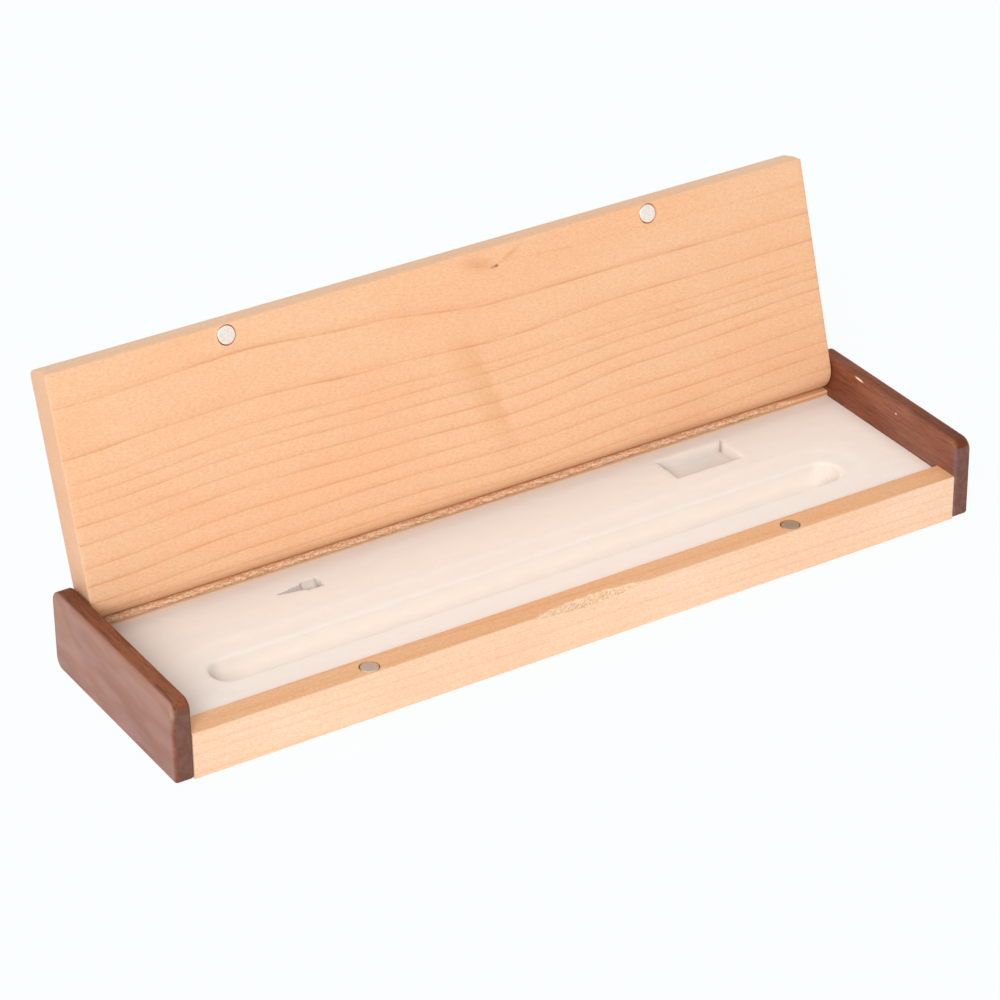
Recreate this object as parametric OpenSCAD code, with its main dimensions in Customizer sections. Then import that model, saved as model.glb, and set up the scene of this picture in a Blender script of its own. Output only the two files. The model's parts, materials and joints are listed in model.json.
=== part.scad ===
// Wooden pen case: a maple tray between two walnut end cheeks, a maple lid
// that turns on two hidden pins, a soft insert and two pairs of disc magnets.
// X runs along the case, Y from front to back, Z up. The origin is the middle
// of the flat underside. The lid is drawn standing open against its stop.

/* [Pen and insert] */
// Length of the pen that the trough holds
pen_length = 175.8; // [130:0.1:200]
// Thickness of the pen
pen_diameter = 8.9; // [7:0.1:14]
// Free length beyond each end of the pen
pen_end_room = 0.8; // [0.2:0.1:3]
// Free width on each side of the pen
pen_side_room = 0.2; // [0.1:0.1:1]
// Free height between the pen and the closed lid
pen_head_room = 0.3; // [0.1:0.1:2]
// Insert left under the trough
trough_skin = 0.7; // [0.5:0.1:3]
// Insert between the trough and the left cheek
trough_left_margin = 16.6; // [8:0.1:30]
// Insert between the trough and the right cheek
trough_right_margin = 20; // [8:0.1:30]
// Middle of the trough behind the front rail
trough_from_front = 14.8; // [9:0.1:18]
// Top of the insert below the top of the rails
insert_drop = 1.2; // [0.5:0.1:2.5]
// Gap between the insert and the wood around it
insert_gap = 0.1; // [0:0.05:0.5]

/* [Accessory pocket] */
// Length of the pocket along the case
pocket_length = 19.4; // [12:0.1:30]
// Width of the pocket from front to back
pocket_width = 9.4; // [6:0.1:12]
// Depth of the pocket
pocket_depth = 2.8; // [1:0.1:5]
// Radius in the pocket's upright corners
pocket_corner = 0.6; // [0.2:0.1:2]
// Middle of the pocket from the right cheek
pocket_from_right = 46.8; // [25:0.1:70]
// Middle of the pocket in front of the back rail
pocket_from_back = 10.1; // [8:0.1:14]

/* [Spare tip pocket] */
// Length of the pocket's pointed end
tip_cone_length = 7.2; // [4:0.1:12]
// Width of the pointed end where it meets the shank
tip_cone_width = 3; // [2:0.1:4]
// Length of the pocket's wide end
tip_shank_length = 4.5; // [3:0.1:8]
// Width of the wide end
tip_shank_width = 4.1; // [3:0.1:6]
// Point of the pocket from the left cheek
tip_from_left = 46.3; // [25:0.1:70]
// Middle of the pocket in front of the back rail
tip_from_back = 9.5; // [6:0.1:14]

/* [Tray] */
// Depth of the case from front to back
case_depth = 60; // [56:0.5:72]
// Thickness of the front rail
front_rail_thick = 7; // [6.5:0.1:10]
// Thickness of the back rail
back_rail_thick = 6.5; // [5.5:0.1:9]
// Thickness of the floor panel
floor_thick = 2.4; // [2:0.1:4]
// Overlap of the floor panel under each rail
rabbet = 2; // [1:0.1:2.5]
// Glue gap round the floor panel
panel_gap = 0.1; // [0:0.05:0.5]
// Rounding of the front rail's top edge
rail_ease = 0.4; // [0.1:0.1:1]

/* [Thumb notch] */
// Length of the notch along the front edge
notch_length = 36; // [20:0.5:60]
// Reach of the notch across the top of the rail
notch_across = 2.5; // [1:0.1:3.5]
// Reach of the notch down the front of the rail
notch_down = 1.6; // [1:0.1:3.5]
// Middle of the notch from the middle of the case
notch_offset = -0.5; // [-10:0.1:10]

/* [Cheeks] */
// Thickness of each end cheek
cheek_thick = 4.8; // [4.6:0.1:8]
// Rise of the cheeks above the closed lid
cheek_reveal = 0.3; // [0:0.1:2]
// Corner radius of the cheek's outline
cheek_corner = 3; // [1.5:0.1:4]
// Rounding along the edges of the cheek's faces
cheek_ease = 0.8; // [0.3:0.1:1.2]

/* [Lid] */
// Thickness of the lid
lid_thick = 8.6; // [8:0.1:11]
// Gap between the closed lid and the rails
lid_gap = 0.3; // [0.2:0.05:0.6]
// Gap between each end of the lid and its cheek
lid_end_gap = 0.8; // [0.3:0.1:1.5]
// Radius under the lid's back edge
lid_round = 6.2; // [5:0.1:7.2]
// Rounding of the lid's free edge, on the top of the shut case
lid_top_round = 1.6; // [0.4:0.1:4]
// Rounding of the lid's other two long edges
lid_ease = 0.4; // [0.2:0.1:1]
// Angle between the closed and the open lid
open_angle = 106.9; // [100:0.1:115]
// Clearance between the open lid and its stop
stop_gap = 0.1; // [0.05:0.01:0.2]

/* [Hinge pins] */
// Height of the pin above the lid's inner face
pin_above_face = 5.5; // [5:0.1:5.8]
// Pin in front of the back of the case
pin_from_back = 3.9; // [3.6:0.1:4.6]
// Diameter of each pin
pin_diameter = 2.5; // [2:0.1:2.8]
// Depth of the pin in the lid
pin_in_lid = 9; // [5:0.5:16]
// Depth of the pin in the cheek
pin_in_cheek = 3.1; // [2:0.1:3.2]
// Free play round the pin in the cheek
pin_play = 0.06; // [0.02:0.01:0.1]
// Free space beyond the pin's end in the cheek
pin_end_play = 0.3; // [0.2:0.1:0.6]

/* [Dowels] */
// Diameter of the dowels between rails and cheeks
dowel_diameter = 3.2; // [2.5:0.1:4]
// Depth of a dowel in the rail
dowel_in_rail = 12; // [6:0.5:20]
// Depth of a dowel in the cheek
dowel_in_cheek = 3; // [2:0.1:3.2]

/* [Magnets] */
// Diameter of the disc magnets
magnet_diameter = 4.7; // [4:0.1:5]
// Thickness of the disc magnets
magnet_thick = 3; // [1.5:0.1:4]
// Glue gap round each magnet
magnet_gap = 0.25; // [0.1:0.05:0.4]
// Face of each magnet below the wood
magnet_recess = 0.1; // [0:0.05:0.3]
// Middle of each magnet from the middle of the case
magnet_offset = 59.3; // [30:0.1:75]
// Middle of each magnet behind the front of the case
magnet_from_front = 3.1; // [3:0.1:3.3]

/* [Hidden] */

$fn = 96;
// Overshoot of a cutting tool past the face it starts from
over = 1;

walnut = [0.36, 0.19, 0.12];
maple = [0.90, 0.70, 0.48];
birch = [0.84, 0.72, 0.55];
flock = [0.93, 0.88, 0.83];
nickel = [0.78, 0.77, 0.75];
steel = [0.60, 0.60, 0.62];

// Tray
trough_length = pen_length + 2 * pen_end_room;
trough_radius = pen_diameter / 2 + pen_side_room;
inner_length = trough_left_margin + trough_length + trough_right_margin;
half_inner = inner_length / 2;
half_depth = case_depth / 2;
lid_face = floor_thick + trough_skin + pen_diameter + pen_head_room;
rail_height = lid_face - lid_gap;
front_rail_back = front_rail_thick - half_depth;
back_rail_front = half_depth - back_rail_thick;
front_rail_mid = front_rail_thick / 2 - half_depth;
back_rail_mid = half_depth - back_rail_thick / 2;
cheek_height = lid_face + lid_thick + cheek_reveal;

// Insert
insert_top = rail_height - insert_drop;
trough_floor = floor_thick + trough_skin;
trough_axis = trough_floor + trough_radius;
trough_y = front_rail_back + trough_from_front;
trough_start = trough_left_margin - half_inner;
trough_end = trough_start + trough_length;
pocket_x = half_inner - pocket_from_right;
pocket_y = back_rail_front - pocket_from_back;
tip_x = tip_from_left - half_inner;
tip_y = back_rail_front - tip_from_back;

// Lid. Its back corner lands on the back rail when it has turned by open_angle.
pin_y = half_depth - pin_from_back;
pin_z = lid_face + pin_above_face;
stop_drop = pin_z - rail_height - stop_gap - lid_ease;
corner_rise = lid_thick - pin_above_face - lid_ease;
lid_tail = lid_ease + (stop_drop + corner_rise * cos(open_angle)) / sin(open_angle);
lid_back = pin_y + lid_tail;
lid_width = lid_back + half_depth;
half_lid = half_inner - lid_end_gap;

// A magnet and the hole that it is glued into
magnet_hole_r = magnet_diameter / 2 + magnet_gap;
magnet_hole_depth = magnet_thick + magnet_recess;
magnet_y = magnet_from_front - half_depth;

// Thumb notch: a drum laid across the edge, tilted to cut further over the top
// than down the front
notch_tilt = atan(notch_down / notch_across);
notch_deep = notch_across * sin(notch_tilt);
notch_drum_r = (pow(notch_length / 2, 2) + pow(notch_deep, 2)) / (2 * notch_deep);

// What a round edge takes off a square corner. The corner is at the origin and
// the material lies towards +x and +y.
module corner_waste(r) {
    difference() {
        translate([-over, -over])
            square(r + over);
        translate([r, r])
            circle(r);
    }
}

// Stands a Y-Z outline up and carries it along X, centred on X = 0
module along_x(length) {
    translate([-length / 2, 0, 0])
        rotate([90, 0, 90])
            linear_extrude(height = length)
                children();
}

// A rod along +X that starts at the given point
module rod_x(from, length, r) {
    translate(from)
        rotate([0, 90, 0])
            cylinder(h = length, r = r);
}

// Mirrors the left-hand end of the case to the right
module on_side(side) {
    mirror([side > 0 ? 1 : 0, 0, 0])
        children();
}

// Turns what is drawn with the lid shut to where it is with the lid open
module opened() {
    translate([0, pin_y, pin_z])
        rotate([-open_angle, 0, 0])
            translate([0, -pin_y, -pin_z])
                children();
}

// Section of a flat board whose four edges are rounded, from the origin up and
// to the right
module eased_section(width, thick, ease) {
    difference() {
        square([width, thick]);
        for (x = [0, 1], y = [0, 1])
            translate([x * width, y * thick])
                mirror([x, 0])
                    mirror([0, y])
                        corner_waste(ease);
    }
}

// Flat plate with rounded corners and rounded face edges, drawn in X-Y with its
// thickness along Z from 0: two crossed boards and a round button at each corner
module eased_plate(size, thick, corner, ease) {
    inset = [size[0] / 2 - corner, size[1] / 2 - corner];
    for (sx = [-1, 1], sy = [-1, 1])
        translate([sx * inset[0], sy * inset[1], 0])
            rotate_extrude()
                intersection() {
                    translate([-corner, 0])
                        eased_section(2 * corner, thick, ease);
                    square([corner, thick]);
                }
    translate([0, -size[1] / 2, 0])
        along_x(2 * inset[0])
            eased_section(size[1], thick, ease);
    rotate(90)
        translate([0, -size[0] / 2, 0])
            along_x(2 * inset[1])
                eased_section(size[0], thick, ease);
}

module rounded_outline(size, r) {
    square([size[0] - 2 * r, size[1]], center = true);
    square([size[0], size[1] - 2 * r], center = true);
    for (sx = [-1, 1], sy = [-1, 1])
        translate([sx * (size[0] / 2 - r), sy * (size[1] / 2 - r)])
            circle(r);
}

// Left-hand cheek, with blind holes for its hinge pin and its two dowels
module cheek() {
    difference() {
        translate([-half_inner - cheek_thick, 0, cheek_height / 2])
            rotate([90, 0, 90])
                eased_plate([case_depth, cheek_height], cheek_thick, cheek_corner, cheek_ease);
        rod_x([-half_inner - pin_in_cheek - pin_end_play, pin_y, pin_z],
              pin_in_cheek + pin_end_play + over, pin_diameter / 2 + pin_play);
        for (y = [front_rail_mid, back_rail_mid])
            rod_x([-half_inner - dowel_in_cheek, y, rail_height / 2],
                  dowel_in_cheek + over, dowel_diameter / 2);
    }
}

// Two dowels at the left-hand end of the rails
module dowel_pair() {
    for (y = [front_rail_mid, back_rail_mid])
        rod_x([-half_inner - dowel_in_cheek, y, rail_height / 2],
              dowel_in_cheek + dowel_in_rail, dowel_diameter / 2);
}

// Holes for the dowels in both ends of a rail whose middle is at y
module rail_dowel_holes(y) {
    for (side = [-1, 1])
        on_side(side)
            rod_x([-half_inner - over, y, rail_height / 2],
                  dowel_in_rail + over, dowel_diameter / 2);
}

module left_cheek() {
    color(walnut)
        cheek();
}

module right_cheek() {
    color(walnut)
        on_side(1)
            cheek();
}

module front_rail() {
    color(maple)
        difference() {
            along_x(inner_length)
                difference() {
                    translate([-half_depth, 0])
                        square([front_rail_thick, rail_height]);
                    translate([front_rail_back - rabbet, -over])
                        square([rabbet + over, floor_thick + over]);
                    translate([-half_depth, rail_height])
                        mirror([0, 1])
                            corner_waste(rail_ease);
                }
            rail_dowel_holes(front_rail_mid);
            for (x = [-magnet_offset, magnet_offset])
                translate([x, magnet_y, rail_height - magnet_hole_depth])
                    cylinder(h = magnet_hole_depth + over, r = magnet_hole_r);
            thumb_notch();
        }
}

module thumb_notch() {
    translate([notch_offset, -half_depth, rail_height])
        rotate([notch_tilt, 0, 0])
            translate([0, 0, notch_drum_r - notch_deep])
                rotate([90, 0, 0])
                    cylinder(h = 4 * front_rail_thick, r = notch_drum_r, center = true, $fn = 360);
}

module back_rail() {
    color(maple)
        difference() {
            along_x(inner_length)
                difference() {
                    translate([back_rail_front, 0])
                        square([back_rail_thick, rail_height]);
                    translate([back_rail_front - over, -over])
                        square([rabbet + over, floor_thick + over]);
                }
            rail_dowel_holes(back_rail_mid);
        }
}

module floor_panel() {
    panel_front = front_rail_back - rabbet + panel_gap;
    panel_back = back_rail_front + rabbet - panel_gap;
    color(birch)
        translate([-half_inner, panel_front, 0])
            cube([inner_length, panel_back - panel_front, floor_thick]);
}

module rail_dowels() {
    color(birch)
        for (side = [-1, 1])
            on_side(side)
                dowel_pair();
}

// Round-bottomed trough with round ends for the pen
module pen_trough() {
    first = trough_start + trough_radius;
    last = trough_end - trough_radius;
    rod_x([first, trough_y, trough_axis], last - first, trough_radius);
    for (x = [first, last])
        translate([x, trough_y, trough_axis]) {
            sphere(trough_radius);
            cylinder(h = insert_top, r = trough_radius);
        }
    translate([first, trough_y - trough_radius, trough_axis])
        cube([last - first, 2 * trough_radius, insert_top]);
}

// Shallow oblong pocket for a small accessory
module accessory_pocket() {
    translate([pocket_x, pocket_y, insert_top - pocket_depth])
        linear_extrude(height = pocket_depth + over)
            rounded_outline([pocket_length, pocket_width], pocket_corner);
}

// Half-sunk bed for a spare tip that points to the left
module tip_pocket() {
    translate([tip_x, tip_y, insert_top]) {
        rotate([0, 90, 0])
            cylinder(h = tip_cone_length, r1 = 0.2, r2 = tip_cone_width / 2);
        rod_x([tip_cone_length, 0, 0], tip_shank_length, tip_shank_width / 2);
    }
}

module insert() {
    front = front_rail_back + insert_gap;
    back = back_rail_front - insert_gap;
    color(flock)
        difference() {
            translate([-half_inner + insert_gap, front, floor_thick])
                cube([inner_length - 2 * insert_gap, back - front, insert_top - floor_thick]);
            pen_trough();
            accessory_pocket();
            tip_pocket();
        }
}

// Disc magnet in the front rail, its face up
module rail_magnet(x) {
    color(nickel)
        translate([x, magnet_y, rail_height - magnet_hole_depth])
            cylinder(h = magnet_thick, r = magnet_diameter / 2);
}

// Disc magnet in the lid, its face towards the rail when the lid is shut
module lid_magnet(x) {
    color(nickel)
        opened()
            translate([x, magnet_y, lid_face + magnet_recess])
                cylinder(h = magnet_thick, r = magnet_diameter / 2);
}

// Section of the shut lid: a large radius under its back edge lets it turn over
// the back rail, and its upper back corner is the stop
module lid_section() {
    translate([-half_depth, lid_face])
        difference() {
            square([lid_width, lid_thick]);
            corner_waste(lid_ease);
            translate([0, lid_thick])
                mirror([0, 1])
                    corner_waste(lid_top_round);
            translate([lid_width, lid_thick])
                rotate(180)
                    corner_waste(lid_ease);
            translate([lid_width, 0])
                mirror([1, 0])
                    corner_waste(lid_round);
        }
}

module lid_panel() {
    color(maple)
        opened()
            difference() {
                along_x(2 * half_lid)
                    lid_section();
                for (x = [-magnet_offset, magnet_offset])
                    translate([x, magnet_y, lid_face - over])
                        cylinder(h = magnet_hole_depth + over, r = magnet_hole_r);
                for (side = [-1, 1])
                    on_side(side)
                        rod_x([-half_lid - over, pin_y, pin_z], pin_in_lid + over, pin_diameter / 2);
            }
}

// Steel pin pressed into the lid's left-hand end, turning in the cheek
module hinge_pin() {
    rod_x([-half_inner - pin_in_cheek, pin_y, pin_z],
          pin_in_cheek + lid_end_gap + pin_in_lid, pin_diameter / 2);
}

module hinge_pin_left() {
    color(steel)
        hinge_pin();
}

module hinge_pin_right() {
    color(steel)
        on_side(1)
            hinge_pin();
}

left_cheek();
right_cheek();
front_rail();
back_rail();
floor_panel();
rail_dowels();
insert();
rail_magnet(-magnet_offset);  // rail_magnet_left
rail_magnet(magnet_offset);  // rail_magnet_right
lid_panel();
lid_magnet(-magnet_offset);  // lid_magnet_left
lid_magnet(magnet_offset);  // lid_magnet_right
hinge_pin_left();
hinge_pin_right();
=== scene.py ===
"""The finish of a hinged wooden pen case: maple boards, walnut cheeks, a flocked insert,
magnets and pins, dressed over the case's own solids. All lengths are in metres."""

import json
import math

import bpy
import numpy as np
from bpy.props import FloatProperty, FloatVectorProperty, PointerProperty
from bpy.types import Operator, Panel, PropertyGroup
from mathutils import Matrix, Vector


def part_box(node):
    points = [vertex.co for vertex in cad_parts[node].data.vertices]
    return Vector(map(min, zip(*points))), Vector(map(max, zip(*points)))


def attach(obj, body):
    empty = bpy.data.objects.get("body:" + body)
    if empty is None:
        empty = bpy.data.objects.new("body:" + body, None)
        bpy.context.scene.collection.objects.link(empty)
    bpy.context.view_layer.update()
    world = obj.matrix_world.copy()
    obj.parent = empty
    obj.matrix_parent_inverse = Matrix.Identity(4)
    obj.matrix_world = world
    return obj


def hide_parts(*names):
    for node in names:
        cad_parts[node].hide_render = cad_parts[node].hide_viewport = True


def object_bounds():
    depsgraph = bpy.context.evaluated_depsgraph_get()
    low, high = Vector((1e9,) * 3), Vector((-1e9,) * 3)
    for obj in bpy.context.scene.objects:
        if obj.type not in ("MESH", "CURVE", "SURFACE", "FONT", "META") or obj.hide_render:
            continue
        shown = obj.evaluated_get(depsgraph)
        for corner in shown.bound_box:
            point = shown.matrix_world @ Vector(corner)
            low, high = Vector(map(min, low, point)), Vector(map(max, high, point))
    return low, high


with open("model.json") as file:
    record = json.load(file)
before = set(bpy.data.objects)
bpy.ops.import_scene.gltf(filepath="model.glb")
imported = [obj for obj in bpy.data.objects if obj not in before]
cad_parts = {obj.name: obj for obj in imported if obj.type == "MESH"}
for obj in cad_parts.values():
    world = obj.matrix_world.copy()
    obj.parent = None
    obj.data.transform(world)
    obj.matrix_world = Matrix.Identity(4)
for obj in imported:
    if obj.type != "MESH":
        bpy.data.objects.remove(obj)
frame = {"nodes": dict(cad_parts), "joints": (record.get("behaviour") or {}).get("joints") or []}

bl_info = {
    "name": "Pen Case",
    "version": (1, 0, 0),
    "blender": (4, 5, 0),
    "location": "View3D > Sidebar > Pen Case",
    "description": "Dresses a hinged wooden pen case with boards, insert, magnets and finishes",
    "category": "Object",
}

SOLID_BOX = [list(corner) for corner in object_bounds()]
NODES = frame["nodes"]
HINGE = frame["joints"][0]
MM = 0.001


def tint(red, green, blue):
    """Linear colour of a 0-255 screen colour."""
    screen = np.array([red, green, blue]) / 255
    linear = np.where(screen <= 0.04045, screen / 12.92, ((screen + 0.055) / 1.055) ** 2.4)
    return tuple(float(v) for v in linear)


def length(name, description, millimetres):
    """A size property, kept in metres."""
    return FloatProperty(
        name=name, description=description, default=millimetres * MM, unit="LENGTH",
        subtype="DISTANCE", precision=5,
    )


def colour(name, description, *screen):
    """A colour property, linear, from its 0-255 screen values."""
    return FloatVectorProperty(
        name=name, description=description, default=tint(*screen), subtype="COLOR",
        size=3, min=0.0, max=1.0,
    )


def power(name, description, default):
    """A plain number of at least nought."""
    return FloatProperty(name=name, description=description, default=default, min=0.0)


# ---- sizes and colours


class PenCaseBoards(PropertyGroup):
    """Sizes of the maple boards"""

    lid_turn: length("Lid turned edge", "Radius of the edge that turns over the back rail", 6.2)
    lid_top: length("Lid outer edge", "Radius of the free edge on the lid's outer face", 1.6)
    lid_lean: length("Lid edge lean", "How far the free edge drops to the lid's inner face", 0.35)
    lid_end: length("Lid end edges", "Radius sanded round the lid's two ends", 0.38)
    cheek_corner: length("Cheek corner", "Radius of the cheeks' corners", 3.0)
    cheek_foot: length("Cheek front foot", "Radius of the cheeks' lower front corner", 1.0)
    cheek_ease: length("Cheek edge", "Radius sanded along the edges of the cheeks' faces", 0.8)
    ease: length("Eased edge", "Radius sanded on the long edges of the rails", 0.4)
    magnet_inset: length("Magnet inset", "Magnet centres from the lid's free edge", 3.1)
    magnet_spread: length("Magnet spread", "Magnet centres from the middle of the case", 59.3)
    magnet_hole: length("Magnet hole", "Radius of the holes for the magnets", 2.55)
    rabbet: length("Rabbet", "Width of the rabbet that holds the floor panel", 2.0)
    notch_middle: length("Notch middle", "Middle of the thumb notch along the front", -0.5)
    notch_length: length("Notch length", "Length of the thumb notch", 36.0)
    notch_across: length("Notch width", "How far the notch runs in from the front edge", 2.5)
    notch_down: length("Notch depth", "How far the notch runs down the front face", 1.6)
    torn_across: length("Torn width", "How far the torn edge runs in over the back rail", 1.9)
    torn_down: length("Torn depth", "How far the torn edge runs down the back rail", 0.8)


class PenCaseInsert(PropertyGroup):
    """Sizes of the flocked insert and its hollows"""

    lip: length("Lip", "Radius of the soft lip round the trough", 1.1)
    shoulder: length("Shoulder", "Drop of the flat that runs round the trough", 0.25)
    shoulder_reach: length("Shoulder reach", "Edge of that flat from the trough's centre line", 10.9)
    pile: length("Pile", "Height of the lumps in the flock", 0.04)
    trough_y: length("Trough place", "Centre line of the trough, from the middle of the case", -8.2)
    trough_radius: length("Trough radius", "Radius of the trough", 4.65)
    trough_axis: length("Trough height", "Height of the trough's centre line", 7.75)
    trough_left: length("Trough left centre", "Centre of the trough's left round end", -85.75)
    trough_right: length("Trough right centre", "Centre of the trough's right round end", 82.35)
    pocket_x: length("Pocket place along", "Middle of the oblong pocket, along the case", 60.2)
    pocket_y: length("Pocket place across", "Middle of the oblong pocket, across the case", 13.4)
    pocket_long: length("Pocket length", "Length of the oblong pocket", 19.4)
    pocket_wide: length("Pocket width", "Width of the oblong pocket", 9.4)
    pocket_deep: length("Pocket depth", "Depth of the oblong pocket", 2.8)
    tip_x: length("Tip place along", "Point of the tip pocket, along the case", -60.7)
    tip_y: length("Tip place across", "Centre line of the tip pocket, across the case", 14.0)
    tip_cone: length("Tip cone", "Length of the tip pocket's cone", 7.2)
    tip_shank: length("Tip shank", "Length of the tip pocket's shank", 4.5)
    tip_radius: length("Tip radius", "Radius of the tip pocket's shank", 2.05)


class PenCaseColours(PropertyGroup):
    """Colours of the woods, the flock and the metals"""

    lid_wood: colour("Lid wood", "Maple of the lid", 251, 198, 156)
    rail_wood: colour("Rail wood", "Maple of the front rail", 255, 216, 184)
    back_wood: colour("Back rail wood", "Maple of the back rail", 244, 194, 150)
    late_wood: colour("Late wood", "Line that ends each year's growth in the maple", 222, 142, 88)
    torn_wood: colour("Torn wood", "Pale fibres of torn grain", 255, 222, 188)
    torn_back: colour("Torn back rail", "Torn fibres along the back rail", 254, 226, 196)
    pit: colour("Pits", "Dark pits in torn grain and the pin knot", 150, 96, 62)
    knot: colour("Knot", "Core of the pin knot", 150, 84, 48)
    walnut: colour("Walnut", "Middle tone of the cheeks", 151, 89, 60)
    walnut_dark: colour("Walnut streak", "Dark streaks in the cheeks", 88, 46, 32)
    # painted sheen: the cheeks' outer faces, seen at a grazing angle, made lighter and greyer, with
    # patchy duller places
    walnut_painted_sheen: colour("Sheened walnut", "Haze on the outer faces of the cheeks", 206, 166, 158)
    walnut_sheen_patches: colour("Patchy walnut", "Duller patches in the haze on the cheeks", 190, 146, 132)
    walnut_pale_band: colour("Banded walnut", "Pale band along the cheeks' outer top edge", 214, 168, 138)
    birch: colour("Birch", "Floor panel and dowels", 224, 190, 150)
    flock: colour("Flock", "Velvet flock of the insert", 254, 245, 236)
    # painted shade: the grey that the insert's hollows, creases and back are mixed towards
    flock_painted_shade: colour("Shaded flock", "Flock in hollows and along creases", 176, 160, 148)
    # painted reflection: the three platings are one nickel plating, tinted one by one to how each disc
    # reflects its surroundings, palest on the lid
    magnet: colour("Magnet plating", "Bright plating of the lid magnets", 250, 236, 226)
    magnet_left_tint: colour("Tinted plating", "Plating of the left rail magnet", 183, 175, 168)
    magnet_right_tint: colour("Dull plating", "Plating of the right rail magnet", 163, 147, 127)
    steel: colour("Pin steel", "Hinge pins", 196, 194, 190)
    ground: colour("Ground", "Floor and surroundings", 252, 255, 255)


class PenCaseStage(PropertyGroup):
    """Lens and light"""

    focal: power("Focal length", "Lens of the camera, mm", 144.61)
    key: power("Key lamp", "Power of the front lamp, W", 78.0)
    top: power("Top lamp", "Power of the lamp overhead, W", 4.2)
    sky: power("Sky", "Strength of the even light", 0.30)
    glow: power("Ground glow", "Share of the ground's own white where it is seen", 0.95)


# ---- meshes


def spaced(start, stop, gap):
    """Even marks from start to stop, about gap apart, both ends kept."""
    return np.linspace(start, stop, max(2, int(round(abs(stop - start) / gap)) + 1))


def blended(edge_low, edge_high, value):
    """Smooth step from 0 at edge_low to 1 at edge_high."""
    t = np.clip((value - edge_low) / (edge_high - edge_low), 0, 1)
    return t * t * (3 - 2 * t)


def bell(value, width):
    """1 at nought, falling away on both sides over a width."""
    return np.exp(-((value / width) ** 2))


def rounding(distance, radius):
    """Drop of a quarter round at a distance in from its edge."""
    inward = (1 - distance / radius).clip(0, 1)
    return radius * (1 - np.sqrt(1 - inward**2))


def lattice(points, seed, size):
    """Smooth random field, -1 to 1: random values at the corners of cubes of a given size, each mixed
    with its neighbours by a smooth step along the three axes."""
    table = np.random.default_rng(seed).uniform(-1, 1, (32, 32, 32))
    cell = points / size
    base = np.floor(cell).astype(int)
    part = cell - base
    part = part * part * (3 - 2 * part)
    total = 0.0
    for corner in np.ndindex(2, 2, 2):
        index = (base + corner) % 32
        share = np.prod(np.where(np.array(corner) == 1, part, 1 - part), axis=-1)
        total = total + share * table[index[..., 0], index[..., 1], index[..., 2]]
    return total


def thinned(values, least):
    """Sorted marks with any closer than least to the one before dropped, the last one kept."""
    values = np.unique(values)
    cells = np.floor(values / least)
    keep = np.concatenate([[True], np.diff(cells) > 0])
    keep[-1] = True
    return values[keep]


def outline(corners, radii, marks):
    """Closed outline in a plane: each corner is turned by an arc of its own radius that touches both
    sides, and the side that leaves a corner holds the marks given as distances from that corner."""
    corners = np.array(corners, float)
    after = np.roll(corners, -1, axis=0) - corners
    reach = np.linalg.norm(after, axis=1)
    away = after / reach[:, None]
    into = np.roll(away, 1, axis=0)
    turn = np.arctan2(into[:, 0] * away[:, 1] - into[:, 1] * away[:, 0], (into * away).sum(1))
    trim = np.array(radii) * np.tan(np.abs(turn) / 2)
    runs = []
    for i, corner in enumerate(corners):
        if radii[i] > 0:
            side = math.copysign(1, turn[i])
            inward = side * np.array([-into[i, 1], into[i, 0]])
            centre = corner - into[i] * trim[i] + inward * radii[i]
            steps = max(4, int(round(radii[i] / MM * 1.2)) * 2 + 4)
            angle = np.linspace(0, turn[i], steps + 1)[:, None]
            arc = inward * np.cos(angle) - side * into[i] * np.sin(np.abs(angle))
            runs.append(centre - radii[i] * arc)
        else:
            runs.append(corner[None])
        gap = 0.02 * MM
        low, high = trim[i] + gap, reach[i] - trim[(i + 1) % len(corners)] - gap
        kept = thinned(np.asarray(marks[i], float), 0.03 * MM)
        kept = kept[(kept > low) & (kept < high)]
        runs.append(corner + kept[:, None] * away[i])
    return np.vstack(runs)


def outline_normals(loop):
    """Outward normals of an anticlockwise outline: the run from the point before to the point after,
    turned a quarter clockwise."""
    run = np.roll(loop, -1, axis=0) - np.roll(loop, 1, axis=0)
    normal = np.stack([run[:, 1], -run[:, 0]], axis=1)
    return normal / np.linalg.norm(normal, axis=1)[:, None]


def carried(loop, stations, ease=0.0):
    """Outline carried along X through the stations. With an ease, the last rings step inward by
    ease x (1 - cos a) as they run out by ease x sin a, so that the end edges are rounded.
    Gives points (stations, outline points, 3) as x, u, v."""
    low, high = stations[0], stations[-1]
    inset = np.zeros_like(stations)
    if ease > 0:
        angles = np.radians([0, 20, 40, 60, 78])
        out = ease * np.sin(angles)
        back = ease * (1 - np.cos(angles))
        inner = stations[(stations > low + ease * 1.2) & (stations < high - ease * 1.2)]
        stations = np.concatenate([[low], low + ease - out[::-1], inner, high - ease + out, [high]])
        inset = np.concatenate([[ease], back[::-1], 0 * inner, back, [ease]])
    points = np.empty((len(stations), len(loop), 3))
    points[..., 0] = stations[:, None]
    points[..., 1:] = loop[None] - inset[:, None, None] * outline_normals(loop)[None]
    return points


def tube_faces(rings, around):
    """Quads between rings of a closed outline, facing along ring direction x outline direction, and
    the two flat faces that close its ends."""
    i, j = np.meshgrid(np.arange(rings - 1), np.arange(around), indexing="ij")
    k = (j + 1) % around
    quads = np.stack([i * around + j, (i + 1) * around + j, (i + 1) * around + k, i * around + k], -1)
    first = np.arange(around)
    return quads.reshape(-1, 4), np.stack([first, first[::-1] + (rings - 1) * around])


def grid_faces(rows, columns):
    """Quads of a sheet of rows x columns points, facing along row direction x column direction."""
    i, j = np.meshgrid(np.arange(rows - 1), np.arange(columns - 1), indexing="ij")
    first = i * columns + j
    return np.stack([first, first + columns, first + columns + 1, first + 1], -1).reshape(-1, 4)


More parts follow.
